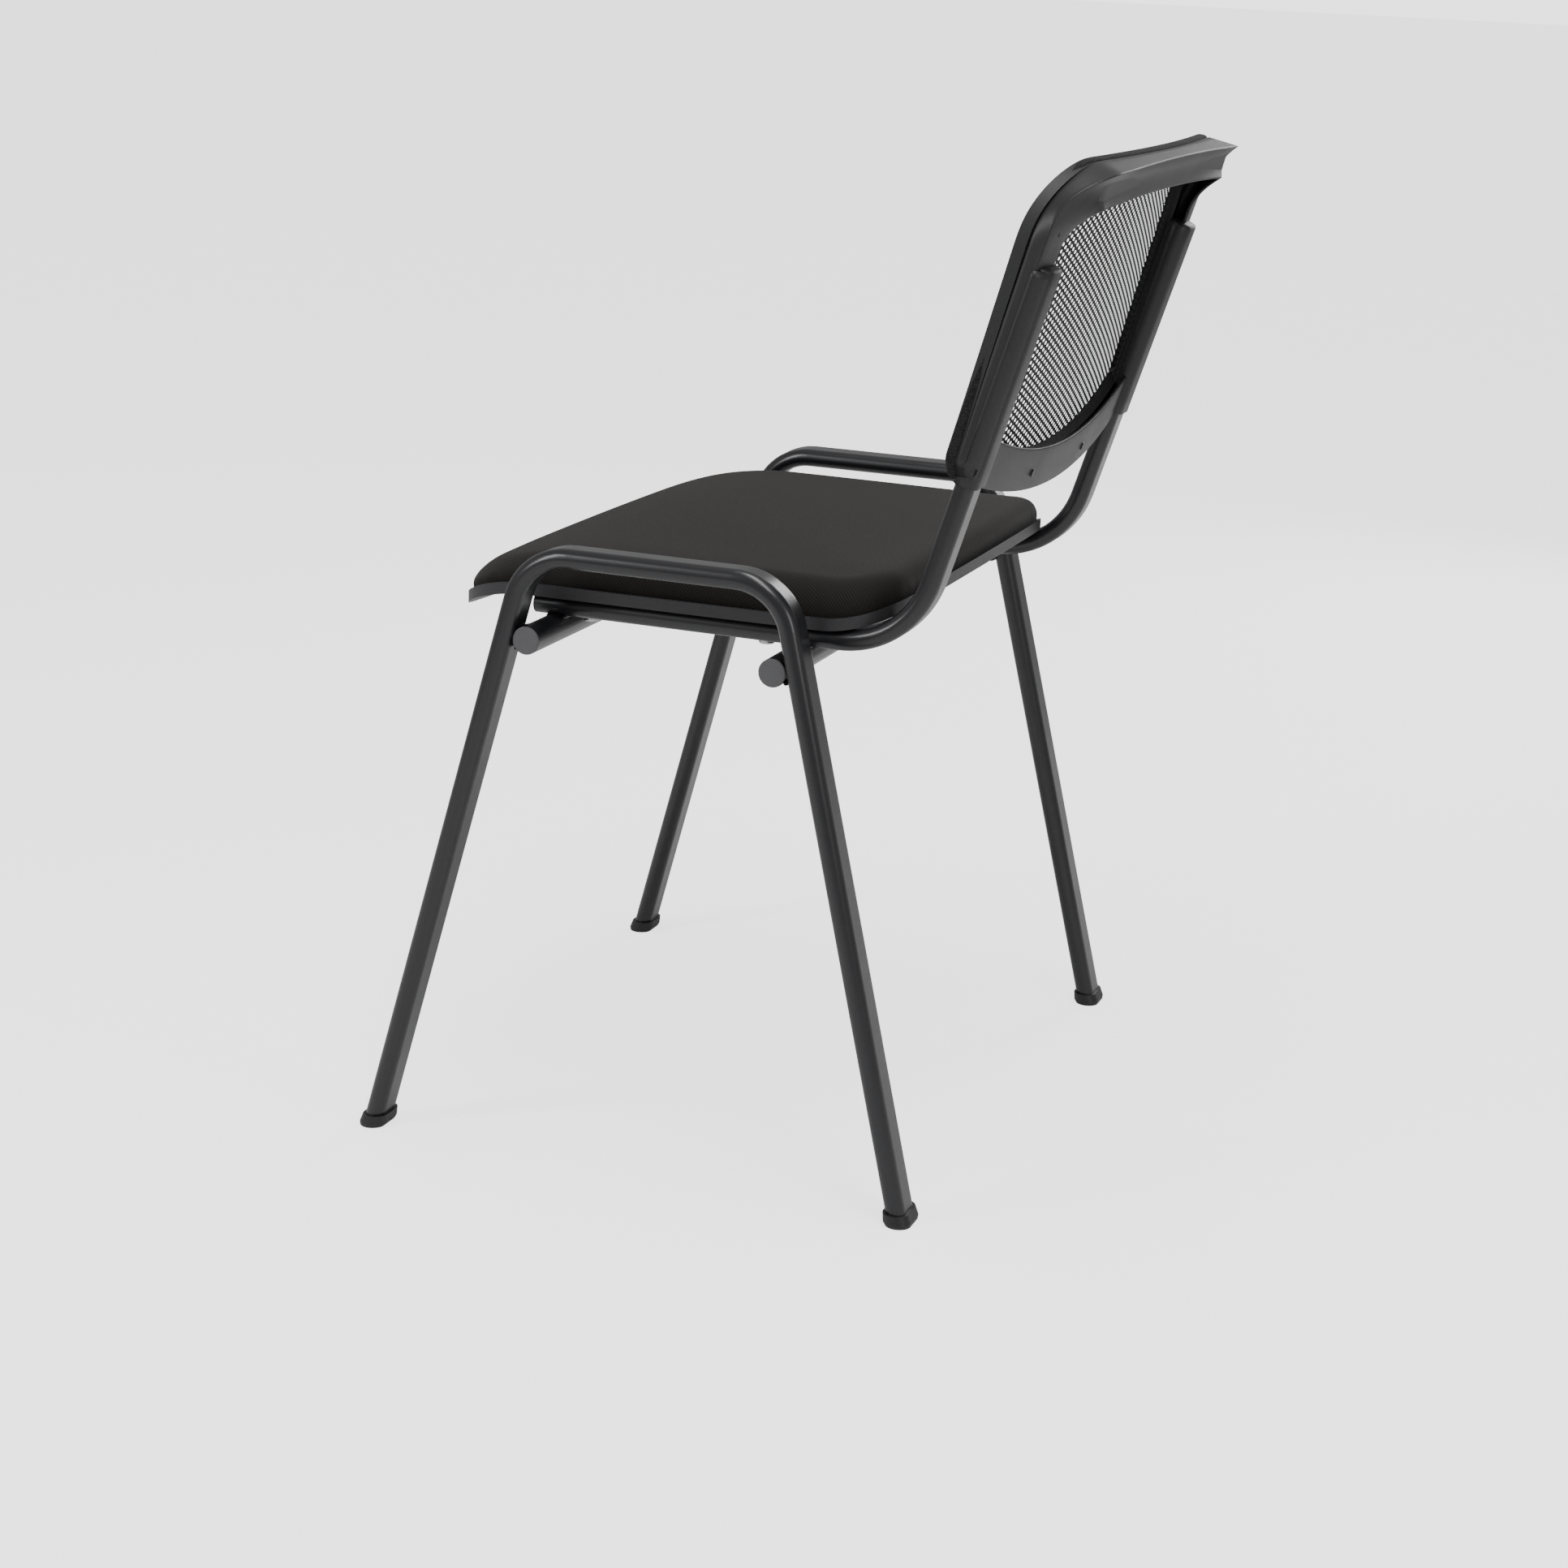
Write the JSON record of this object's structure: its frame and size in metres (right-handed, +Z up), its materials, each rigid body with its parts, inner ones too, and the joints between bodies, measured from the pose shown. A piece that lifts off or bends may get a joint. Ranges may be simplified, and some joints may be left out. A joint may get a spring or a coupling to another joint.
{
  "type": "stacking chair",
  "caption": "Stackable visitor chair with inverted-U steel side frames, bent uprights, padded seat in a plastic shell and a mesh back in a moulded frame.",
  "frame": {"origin": "on the floor, under the middle of the chair's overall width and length", "axes": "+Z up, +X to the sitter's left, the sitter faces -Y"},
  "size_m": [0.5634, 0.5313, 0.7653],
  "materials": {
    "frame_steel": "satin black powder coat",
    "cap_plastic": "fine matte, mid grey",
    "glide_plastic": "fine matte, black",
    "shell_plastic": "satin moulded, dark grey",
    "plywood": "bare birch plywood",
    "foam": "open-cell foam, cut",
    "seat_fabric": "ribbed twill, warm black",
    "back_plastic": "fine matte, charcoal",
    "mesh_fabric": "perforated knit, black",
    "zinc_steel": "zinc plated",
    "black_steel": "black oxide"
  },
  "bodies": {
    "root": {"leg_frame_left": "frame_steel", "leg_frame_right": "frame_steel", "upright_tube_left": "frame_steel", "upright_tube_right": "frame_steel", "front_cross_tube": "frame_steel", "rear_cross_tube": "frame_steel", "cross_cap_front_left": "cap_plastic", "cross_cap_front_right": "cap_plastic", "cross_cap_rear_left": "cap_plastic", "cross_cap_rear_right": "cap_plastic", "glide_front_left": "glide_plastic", "glide_front_right": "glide_plastic", "glide_rear_left": "glide_plastic", "glide_rear_right": "glide_plastic", "upright_plug_left": "glide_plastic", "upright_plug_right": "glide_plastic", "seat_shell": "shell_plastic", "seat_board": "plywood", "seat_foam": "foam", "seat_cover": "seat_fabric", "back_frame": "back_plastic", "mesh_carrier": "back_plastic", "back_mesh": "mesh_fabric", "seat_screws": "zinc_steel", "seat_nuts": "zinc_steel", "carrier_screws": "black_steel", "sleeve_screws": "black_steel"}
  },
  "joints": []
}
